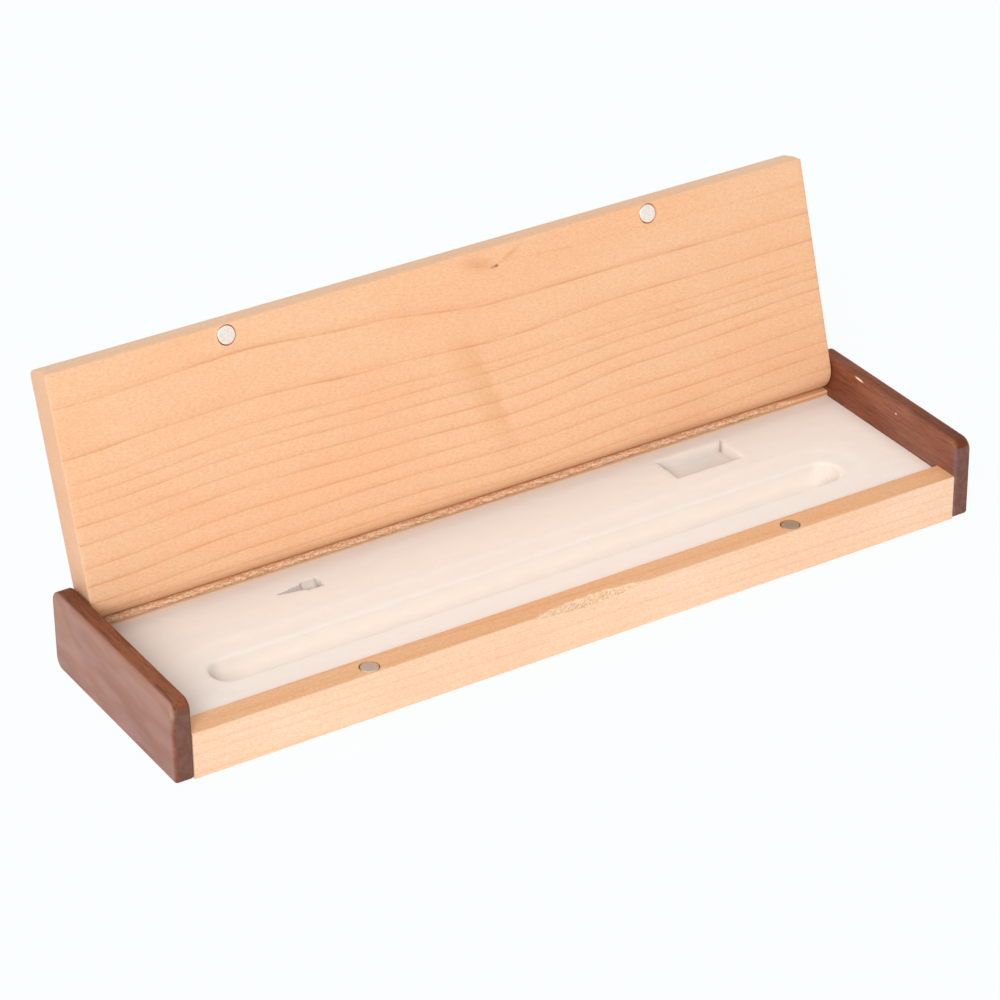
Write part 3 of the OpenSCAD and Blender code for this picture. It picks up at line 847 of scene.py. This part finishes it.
class PENCASE_OT_rails(Operator):
    """Make the front rail with its thumb notch and the back rail with its torn inner edge"""

    bl_idname = "pen_case.rails"
    bl_label = "Rails"

    def execute(self, context):
        size, tones = context.scene.pen_case_boards, context.scene.pen_case_colours
        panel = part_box("floor_panel")[1][2]
        self.front(size, tones, panel)
        self.back(size, tones, panel)
        return {"FINISHED"}

    @staticmethod
    def front(size, tones, panel):
        low, high = np.array(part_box("front_rail"))
        inner, spread, hole = high[1], size.magnet_spread, size.magnet_hole
        step = inner - size.rabbet
        magnet_y = np.array(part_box("rail_magnet_left")).mean(0)[1]
        corners = [
            (low[1], low[2]), (step, low[2]), (step, panel), (inner, panel),
            (inner, high[2]), (low[1], high[2]),
        ]
        marks = side_marks(corners, 1.0 * MM)
        wide = marks[4][-1]
        marks[4] = np.concatenate([
            spaced(0, 1.5 * MM, 0.5 * MM), inner - magnet_y + HOLE_RINGS * hole,
            spaced(wide - 3.0 * MM, wide, 0.14 * MM),
        ])
        marks[5] = np.concatenate([marks[5], spaced(0, 2.2 * MM, 0.14 * MM)])
        loop = outline(corners, [0, 0, 0, 0, INNER_EDGE, size.ease], marks)
        stations = marks_round(spaced(low[0], high[0], 1.6 * MM), [-spread, spread], hole)
        middle, half = size.notch_middle, size.notch_length / 2
        cut = spaced(middle - half - 1 * MM, middle + half + 1 * MM, 0.24 * MM)
        stations = stations[(stations < cut[0]) | (stations > cut[-1])]
        x, y, z = np.moveaxis(carried(loop, np.sort(np.concatenate([stations, cut]))), -1, 0)
        face = z > high[2] - 0.01 * MM
        x, y, z = pressed_holes(x, y, z, face, spread, magnet_y, hole)
        spots = np.stack([x, y * 2, z * 2], -1)
        # the front rail's upper face, which takes painted shade
        edge = blended(0.0, 0.4 * MM, y - low[1]) * (z > high[2] - 2 * size.ease)
        span = (1 - ((x - middle) / half) ** 2).clip(0, None)
        span = span * (1 + 0.12 * lattice(spots, 3, 1.6 * MM))
        rough = 1 + 0.2 * lattice(spots, 4, 0.9 * MM) + 0.22 * lattice(spots, 5, 0.35 * MM)
        corner = (low[1], high[2])
        y, z, inside = planed(y, z, corner, size.notch_across, size.notch_down, span, rough)
        torn = blended(0.0, 0.2, inside + 0.1 * lattice(spots, 12, 0.5 * MM) * (inside > 0))
        depth = ((high[2] - z) / size.notch_down).clip(0, 1)
        fields = growth_rail(x, y, z)
        fields |= {"torn": torn, "edge": edge * (1 - torn), "pitted": 0.15 + 0.5 * depth}
        piece = new_board("front_rail_board", np.stack([x, y, z], -1), **fields)
        finish = maple_finish(
            "oiled maple front rail", tones, tones.rail_wood, 31.0, 0.55, RAIL_TOP_PAINTED_SHADE, tones.torn_wood
        )
        dress(piece, finish, "case", "front_rail")

    @staticmethod
    def back(size, tones, panel):
        low, high = np.array(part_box("back_rail"))
        inner, step = low[1], low[1] + size.rabbet
        corners = [
            (inner, panel), (step, panel), (step, low[2]), (high[1], low[2]),
            (high[1], high[2]), (inner, high[2]),
        ]
        marks = side_marks(corners, 1.0 * MM)
        wide = marks[4][-1]
        marks[4] = np.concatenate([marks[4], spaced(wide - 2.6 * MM, wide, 0.15 * MM)])
        marks[5] = np.concatenate([marks[5], spaced(0, 1.4 * MM, 0.15 * MM)])
        loop = outline(corners, [0, 0, 0, 0, size.ease, INNER_EDGE], marks)
        x, y, z = np.moveaxis(carried(loop, spaced(low[0], high[0], 0.42 * MM)), -1, 0)
        spots = np.stack([x * 0.7, y * 1.4, z * 1.4], -1)
        ragged = 0.22 * lattice(spots, 8, 2.0 * MM) + 0.16 * lattice(spots, 9, 0.7 * MM)
        span = (1 + ragged) * blended(TORN_END[1], TORN_END[0], x)
        rough = 1 + 0.22 * lattice(spots, 6, 0.8 * MM) + 0.2 * lattice(spots, 7, 0.4 * MM)
        corner = (inner, high[2])
        y, z, inside = planed(y, z, corner, size.torn_across, size.torn_down, span, rough)
        fields = growth_rail(x, y, z)
        fields["torn"] = blended(0.0, 0.1, inside)
        fields["pitted"] = np.full_like(x, 0.3)
        # painted shade line low on the back rail's inner face, just above the insert
        fields["edge"] = bell(z - high[2] + CREASE_DOWN, CREASE_REACH) * (y < inner + 0.6 * MM)
        piece = new_board("back_rail_board", np.stack([x, y, z], -1), **fields)
        finish = maple_finish(
            "oiled maple back rail", tones, tones.back_wood, 57.0, 0.5, CREASE_PAINTED_SHADE, tones.torn_back
        )
        dress(piece, finish, "case", "back_rail")


class PENCASE_OT_cheeks(Operator):
    """Make the two walnut cheeks, their long edges rounded, with a painted sheen on their outer faces and
    painted shade in places
    """

    bl_idname = "pen_case.cheeks"
    bl_label = "Cheeks"

    def execute(self, context):
        size, tones = context.scene.pen_case_boards, context.scene.pen_case_colours
        for side, sign, seed in (("left", -1, 3.0), ("right", 1, 29.0)):
            low, high = np.array(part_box(side + "_cheek"))
            corners = rectangle(low[1:], high[1:])
            radii = [size.cheek_foot, *[size.cheek_corner] * 3]
            loop = outline(corners, radii, side_marks(corners, 0.8 * MM))
            points = carried(loop, spaced(low[0], high[0], 0.4 * MM), size.cheek_ease)
            x, y, z = np.moveaxis(points, -1, 0)
            outward = (np.abs(x) - np.abs(x).min()) / (high[0] - low[0])
            along = y / high[1]
            outer = blended(0.8, 0.97, outward)
            end = blended(1.2 * MM, 0.3 * MM, y - low[1]) * (z < high[2] - size.cheek_corner * 0.6)
            end = end * (1 - 0.75 * outer)
            inner = (1 - blended(0.05, 0.25, outward)) * (sign > 0)
            # painted sheen on the outer faces, and a little on the right cheek's inner face towards its
            # front
            sheen_outer = outer * (1 - 0.12 * blended(0.2, -0.9, along)) * blended(0, 1.2 * MM, y - low[1])
            fields = {
                "painted_sheen": sheen_outer + 0.2 * inner * blended(0.7, -0.1, along),
                "end": end,
                "pale_band": bell(z - high[2] + PALE_BAND_DOWN, PALE_BAND_REACH) * outer,
                "dark": self.dark(sign, outward, along, z - low[2]) * (1 - end),
                "chip_across": (y - CHIP_PLACE) / MM,
                "chip_up": (z - high[2]) / MM + 2.5 * outward + 20 * blended(0.4, 0.6, outward),
            }
            piece = new_board(side + "_cheek_board", points, **fields)
            finish = walnut_finish("oiled walnut " + side, tones, seed, chipped=sign > 0)
            dress(piece, finish, "case", side + "_cheek")
        return {"FINISHED"}

    @staticmethod
    def dark(sign, outward, along, up):
        """How far each place is darkened: the back of the left cheek and the front of the right one's
        top, and painted shade along the foot and over the back of the right one's inner face."""
        if sign < 0:
            return 0.65 * blended(0.1, 0.9, along)
        top = blended(0.1, 0.4, outward)
        # painted shade: a line along the foot of the right cheek's inner face, and more towards its back
        # under the lid
        foot = bell(up - FOOT_UP, FOOT_REACH) + 0.35 * blended(0.2, 0.8, along)
        return (top * (0.25 + 0.75 * blended(0.3, -0.8, along)) + (1 - top) * foot).clip(0, 1)


class PENCASE_OT_base(Operator):
    """Finish the floor panel and the rail dowels"""

    bl_idname = "pen_case.base"
    bl_label = "Floor panel and dowels"

    def execute(self, context):
        tones = context.scene.pen_case_colours
        refinish("floor_panel", birch_finish("birch ply", tones.birch, 5.0))
        refinish("rail_dowels", birch_finish("birch dowel", tones.birch, 9.0))
        return {"FINISHED"}


class PENCASE_OT_pins(Operator):
    """Finish the two hinge pins"""

    bl_idname = "pen_case.pins"
    bl_label = "Hinge pins"

    def execute(self, context):
        finish = steel_finish("drawn steel", context.scene.pen_case_colours.steel)
        refinish("hinge_pin_left", finish)
        refinish("hinge_pin_right", finish)
        return {"FINISHED"}


# ---- insert


# Grid lines either side of a pocket's wall, and round the trough's rim in radii.
WALL_MARKS = np.array([-0.6, -0.3, -0.12, 0.0, 0.1, 0.22, 0.36, 0.6, 0.9]) * MM
RIM_MARKS = np.array([0, 0.2, 0.4, 0.6, 0.75, 0.87, 0.95, 1.0, 1.05, 1.1, 1.16, 1.25])
# Radius round the insert's top, its least thickness, and the angle below which it is shown smooth.
INSERT_EDGE = 0.15 * MM
LEAST_THICK = 0.3 * MM
PILE_SMOOTH = 60.0


def past_ends(x, size):
    """How far each place lies past the centres of the trough's two round ends."""
    right, left = x - size.trough_right, x - size.trough_left
    return np.where(right > 0, right, np.where(left < 0, left, 0))


def trough(x, y, top, size):
    """A half-round trough with ball ends, its lip rounded into a shallow flat that runs round it.
    Gives the grid places pressed to its round ends, their heights and the painted shade on each: along
    the lip, down the near wall and at the two ends."""
    past, off, radius = past_ends(x, size), y - size.trough_y, size.trough_radius
    ring = np.maximum(np.abs(past), np.abs(off))
    reach = np.maximum(np.hypot(past, off), 1e-9)
    press = blended(radius * 1.3, radius * 1.01, ring) * (past != 0)
    pull = press * (ring / reach - 1)
    x, y = x + past * pull, y + off * pull
    past = past_ends(x, size)
    gap = np.hypot(past, y - size.trough_y)
    edge = size.shoulder_reach
    drop = size.shoulder * blended(edge + 1.6 * MM, edge - 1.6 * MM, gap)
    bowl = size.trough_axis - np.sqrt((radius**2 - gap**2).clip(0, None))
    z = np.where(gap < radius * 0.985, bowl, top - drop - rounding(gap - radius, size.lip))
    inside = blended(radius, radius * 0.8, gap)
    near = blended(1 * MM, -3 * MM, y - size.trough_y)
    hollow = (0.03 + 0.05 * (1 - near)) * bell(gap - radius - 0.2 * MM, 0.8 * MM)
    hollow = hollow + inside * (0.02 + 0.07 * near)
    left_end, right_end = blended(0.2 * radius, radius, -past), blended(0, radius, past)
    hollow = hollow + 0.14 * left_end * bell(gap - radius * 0.9, 0.9 * MM)
    return x, y, z, hollow + 0.36 * right_end * blended(radius * 1.12, radius * 0.85, gap)


def oblong_pocket(x, y, size):
    """An oblong pocket with steep walls. Gives the depth and the painted shade on each place: its floor,
    its right-hand wall and the crease in its far corner."""
    right = x - size.pocket_x - size.pocket_long / 2
    left = size.pocket_x - size.pocket_long / 2 - x
    back = y - size.pocket_y - size.pocket_wide / 2
    wall = np.maximum(np.maximum(right, left), np.abs(y - size.pocket_y) - size.pocket_wide / 2)
    inside = blended(0.2 * MM, -0.12 * MM, wall)
    softened = 0.2 * MM * blended(0.9 * MM, 0.1 * MM, wall) * (1 - inside)
    hollow = 0.2 + 0.13 * blended(-size.pocket_long, 0, right)
    hollow = hollow + 0.14 * bell(right + 0.5 * MM, 0.5 * MM)
    corner = 0.62 * bell(right, 0.42 * MM) * bell(back, 0.7 * MM)
    return size.pocket_deep * inside + softened, hollow * inside + corner


def tip_pocket(x, y, size):
    """A half-round pocket for a spare tip: a cone, a step, then a shank. Gives the depth and the painted
    shade on each place."""
    run, off, wide = x - size.tip_x, y - size.tip_y, size.tip_radius
    end = size.tip_cone + size.tip_shank
    cone = np.interp(run, [0, size.tip_cone], [0.15 * MM, 1.5 * MM])
    half = np.where(run < size.tip_cone, cone, wide) * ((run >= 0) & (run < end))
    depth = np.sqrt((half**2 - off**2).clip(0, None))
    inside = depth > 0
    hollow = np.where(run < size.tip_cone, 0.56, 0.5 - 0.2 * blended(0, wide, off)) * inside
    along = blended(-0.4 * MM, 0.2 * MM, run) * blended(end + 0.4 * MM, end, run)
    hollow = hollow + 0.42 * bell(off + half, 0.4 * MM) * along
    hollow = hollow + 0.25 * inside * bell(run - size.tip_cone, 0.35 * MM)
    return depth, hollow + 0.5 * inside * bell(end - run, 0.7 * MM)


def closed_block(top, floor):
    """Sheet of points closed into a block: its rim dropped to the floor and the floor closed by a
    ring and a fan. The sheet's rows run along X and its columns along Y. Gives the points, the quads
    and the fan's triangles."""
    rows, columns = top.shape[:2]
    index = np.arange(rows * columns).reshape(rows, columns)
    rim = np.concatenate([index[:-1, 0], index[-1, :-1], index[:0:-1, -1], index[0, :0:-1]])
    count = len(rim)
    skirt = top.reshape(-1, 3)[rim].copy()
    skirt[:, 2] = floor
    centre = skirt.mean(0)
    points = np.vstack([top.reshape(-1, 3), skirt, (skirt + centre) / 2, centre])
    base = rows * columns + np.arange(count)
    ring = base + count
    wall = np.stack([rim, base, np.roll(base, -1), np.roll(rim, -1)], -1)
    under = np.stack([base, ring, np.roll(ring, -1), np.roll(base, -1)], -1)
    fan = np.stack([ring, np.full(count, len(points) - 1), np.roll(ring, -1)], -1)
    return points, np.vstack([grid_faces(rows, columns), wall, under]), fan


class PENCASE_OT_insert(Operator):
    """Make the flocked insert with its pen trough and two pockets"""

    bl_idname = "pen_case.insert"
    bl_label = "Flocked insert"

    def execute(self, context):
        size, tones = context.scene.pen_case_insert, context.scene.pen_case_colours
        low, high = np.array(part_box("insert"))
        rim = RIM_MARKS * size.trough_radius
        wide, long = size.pocket_wide / 2, size.pocket_long / 2
        shoulder = size.trough_y + size.shoulder_reach
        lines_y = np.concatenate([
            spaced(low[1], high[1], 0.7 * MM), size.trough_y + rim, size.trough_y - rim,
            spaced(shoulder - 1.6 * MM, shoulder + 1.6 * MM, 0.4 * MM),
            size.pocket_y + wide + WALL_MARKS, size.pocket_y - wide - WALL_MARKS,
            spaced(size.tip_y - 2.6 * MM, size.tip_y + 2.6 * MM, 0.2 * MM),
        ])
        lines_x = np.concatenate([
            spaced(low[0], high[0], 1.4 * MM), size.trough_right + rim, size.trough_left - rim,
            size.pocket_x + long + WALL_MARKS, size.pocket_x - long - WALL_MARKS,
            spaced(size.tip_x - 1 * MM, size.tip_x + 13 * MM, 0.25 * MM),
        ])
        lines = (thinned(marks, 0.045 * MM) for marks in (lines_x, lines_y))
        x, y = np.meshgrid(*lines, indexing="ij")
        x, y, z, hollow = trough(x, y, high[2], size)
        for deep, dark in (oblong_pocket(x, y, size), tip_pocket(x, y, size)):
            z = z - deep
            hollow = hollow + dark
        # painted shade, growing towards the back where the open lid hangs over the insert
        hollow = hollow + 0.03 * blended(1 * MM, 5 * MM, y) + 0.1 * blended(5 * MM, 24 * MM, y)
        spots = np.stack([x, y, z], -1)
        z = z + size.pile * (lattice(spots, 21, 3.2 * MM) + 0.4 * lattice(spots, 22, 0.9 * MM) - 1)
        edge = np.minimum(np.minimum(x - low[0], high[0] - x), np.minimum(y - low[1], high[1] - y))
        z = np.clip(z - rounding(edge, INSERT_EDGE), low[2] + LEAST_THICK, high[2])
        points, quads, fan = closed_block(np.stack([x, y, z], -1), low[2])
        shown = np.zeros(len(points))
        shown[: hollow.size] = hollow.clip(0, 1).ravel()
        piece = new_piece("flocked_insert", points, quads, fan, smooth=PILE_SMOOTH, hollow=shown)
        finish = flock_finish("velvet flock", tones.flock, tones.flock_painted_shade, 4.0)
        dress(piece, finish, "case", "insert")
        return {"FINISHED"}


# ---- magnets


# Radius of the magnets' rims, and how far the lid's magnets lie below its face.
MAGNET_EASE = 0.3 * MM
MAGNET_SUNK = 0.1 * MM


def disc(radius, thick, ease, around=64):
    """Lathed disc: a profile from the middle of the face, over an eased rim, down the side and under,
    carried round its axis. Gives points (profile, around, 3) with the face at zero height, and the
    radius of each."""
    arc = np.radians(np.linspace(0, 90, 6))
    flat = np.linspace(0.02, 1, 12) * (radius - ease)
    under = [radius, (radius - ease) * 0.5, 0.02 * radius]
    run = np.concatenate([flat, radius - ease + ease * np.sin(arc[1:]), under])
    drop = np.concatenate([0 * flat, ease * (np.cos(arc[1:]) - 1), [-thick, -thick, -thick]])
    angle = np.arange(around) / around * 2 * math.pi
    points = np.empty((len(run), around, 3))
    points[..., 0] = run[:, None] * np.cos(angle)
    points[..., 1] = run[:, None] * np.sin(angle)
    points[..., 2] = drop[:, None]
    return points, np.repeat(run[:, None], around, 1)


class PENCASE_OT_magnets(Operator):
    """Make the four plated magnets"""

    bl_idname = "pen_case.magnets"
    bl_label = "Magnets"

    def execute(self, context):
        tones, size = context.scene.pen_case_colours, context.scene.pen_case_boards
        # one plating in three tints, painted reflection
        bright = plated_finish("bright plating", tones.magnet)
        left_tint = plated_finish("worn plating", tones.magnet_left_tint)
        right_tint = plated_finish("dull plating", tones.magnet_right_tint)
        _, rise, thick = lid_box()
        for side, sign, plating in (("left", -1, left_tint), ("right", 1, right_tint)):
            low, high = np.array(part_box("rail_magnet_" + side))
            points, reach = disc((high[0] - low[0]) / 2, high[2] - low[2], MAGNET_EASE)
            faces = tube_faces(*points.shape[:2])
            upright = points + [*(low + high)[:2] / 2, high[2]]
            piece = new_piece("rail_magnet_disc_" + side, upright, *faces, radius=reach / MM)
            dress(piece, plating, "case", "rail_magnet_" + side)
            x = points[..., 0] + sign * size.magnet_spread
            s = points[..., 1] + rise[1] - size.magnet_inset
            t = points[..., 2] + thick[1] - MAGNET_SUNK
            piece = new_piece("lid_magnet_disc_" + side, set_in_lid(x, s, t), *faces, radius=reach / MM)
            dress(piece, bright, "lid", "lid_magnet_" + side)
        return {"FINISHED"}


# ---- stage


CAMERA_PLACE = (-442.49 * MM, -706.47 * MM, 508.33 * MM)
# The camera's tip down, roll and swing about the upright, in radians.
CAMERA_TURN = (0.52587645, -0.01058182, -0.5524463)
# Where both lamps aim, and each lamp's place and width.
LAMP_AIM = (0, 0, 0.03)
FRONT_LAMP = (-1.9, -2.1, 1.7), 1.65
TOP_LAMP = (0.2, 0.45, 1.25), 0.9


def turned(axis, angle):
    """3 x 3 turn about one axis."""
    return np.array(Matrix.Rotation(angle, 3, axis))


def camera_turn():
    """The camera's turn from its right, up and backward directions: level and facing along Y, swung
    about the upright, tipped and rolled."""
    tip, roll, swing = CAMERA_TURN
    level = np.array([[1, 0, 0], [0, 0, -1], [0, 1, 0]], float)
    right, down, forward = turned("Z", roll) @ turned("X", tip) @ turned("Y", swing) @ level
    return Matrix(np.stack([right, -down, -forward], axis=1).tolist()).to_euler()


def lamp(name, place, width, watts):
    """Square soft lamp at a place, facing the case, not itself seen."""
    light = bpy.data.lights.new(name, "AREA")
    light.shape = "SQUARE"
    light.size = width
    light.energy = watts
    turn = (Vector(LAMP_AIM) - Vector(place)).to_track_quat("-Z", "Y").to_euler()
    stand(name, light, place, turn).visible_camera = False


def seen_directly(tree):
    """1 on rays straight from the camera, off a mirror or through a clear body."""
    path = tree.nodes.new("ShaderNodeLightPath").outputs
    seen = maths("MAXIMUM", Wire(path["Is Camera Ray"]), Wire(path["Is Glossy Ray"]))
    return maths("MAXIMUM", seen, Wire(path["Is Transmission Ray"]))


def ground_finish(white, share):
    """Matt white that keeps the shadows it is given, lifted by a share to the colour of the
    surroundings wherever it is seen."""
    finish, tree, shader = new_finish("matt ground")
    mottle = grained(tree, (1, 1, 1), 30 * MM, detail=2)
    tone = mixed(mottle.ranged(0.3, 0.7), white, (0.94, 0.95, 0.955))
    surface(shader, Base_Color=tone, Roughness=0.9, Specular_IOR_Level=0.1)
    glow = add(tree, "ShaderNodeEmission", values={"Color": white, "Strength": 1.0})
    blend = {0: seen_directly(tree) * share, 1: Wire(shader.outputs["BSDF"]), 2: glow}
    output = next(node for node in tree.nodes if node.type == "OUTPUT_MATERIAL")
    put(output.inputs["Surface"], add(tree, "ShaderNodeMixShader", values=blend))
    return finish


class PENCASE_OT_stage(Operator):
    """Make the pale ground, the soft lamps and the camera"""

    bl_idname = "pen_case.stage"
    bl_label = "Stage"

    def execute(self, context):
        scene = context.scene
        stage, tones = scene.pen_case_stage, scene.pen_case_colours
        side = spaced(-3.0, 3.0, 0.5)
        x, y = np.meshgrid(side, side, indexing="ij")
        sheet = np.stack([x, y, np.full_like(x, SOLID_BOX[0][2] - 0.05 * MM)], -1)
        ground = new_piece("ground", sheet, grid_faces(len(side), len(side)))
        ground.data.materials.append(ground_finish(tones.ground, stage.glow))
        world = bpy.data.worlds.new("even light")
        scene.world = world
        world.use_nodes = True
        tree = world.node_tree
        tree.nodes.clear()
        even = add(tree, "ShaderNodeBackground", values={"Color": (1.0, 1.0, 1.0), "Strength": stage.sky})
        white = add(tree, "ShaderNodeBackground", values={"Color": tones.ground, "Strength": 1.0})
        blend = {0: seen_directly(tree), 1: even, 2: white}
        output = tree.nodes.new("ShaderNodeOutputWorld")
        put(output.inputs["Surface"], add(tree, "ShaderNodeMixShader", values=blend))
        lamp("front softbox", *FRONT_LAMP, stage.key)
        lamp("overhead softbox", *TOP_LAMP, stage.top)
        camera = bpy.data.cameras.new("camera")
        camera.lens = stage.focal
        camera.sensor_width = 36.0
        camera.clip_start, camera.clip_end = 0.05, 20.0
        scene.camera = stand("camera", camera, CAMERA_PLACE, camera_turn())
        scene.view_settings.view_transform = "Standard"
        return {"FINISHED"}


# ---- add-on


class PENCASE_PT_build(Panel):
    """Builds the pen case piece by piece"""

    bl_label = "Pen Case"
    bl_idname = "PENCASE_PT_build"
    bl_space_type = "VIEW_3D"
    bl_region_type = "UI"
    bl_category = "Pen Case"

    def draw(self, context):
        layout = self.layout
        for operator in OPERATORS:
            layout.operator(operator.bl_idname)
        for group in GROUPS:
            box = layout.box()
            values = getattr(context.scene, group)
            for key in values.bl_rna.properties.keys():
                if key not in ("rna_type", "name"):
                    box.prop(values, key)


OPERATORS = (
    PENCASE_OT_lid, PENCASE_OT_rails, PENCASE_OT_cheeks, PENCASE_OT_base, PENCASE_OT_insert,
    PENCASE_OT_magnets, PENCASE_OT_pins, PENCASE_OT_stage,
)
GROUPS = {
    "pen_case_boards": PenCaseBoards,
    "pen_case_insert": PenCaseInsert,
    "pen_case_colours": PenCaseColours,
    "pen_case_stage": PenCaseStage,
}


def register():
    for made in (*GROUPS.values(), *OPERATORS, PENCASE_PT_build):
        bpy.utils.register_class(made)
    for name, group in GROUPS.items():
        setattr(bpy.types.Scene, name, PointerProperty(type=group))


def unregister():
    for name in GROUPS:
        delattr(bpy.types.Scene, name)
    for made in (PENCASE_PT_build, *reversed(OPERATORS), *reversed(GROUPS.values())):
        bpy.utils.unregister_class(made)


def main():
    """Makes every piece in order."""
    register()
    bpy.ops.pen_case.lid()
    bpy.ops.pen_case.rails()
    bpy.ops.pen_case.cheeks()
    bpy.ops.pen_case.base()
    bpy.ops.pen_case.insert()
    bpy.ops.pen_case.magnets()
    bpy.ops.pen_case.pins()
    bpy.ops.pen_case.stage()


if __name__ == "__main__":
    main()
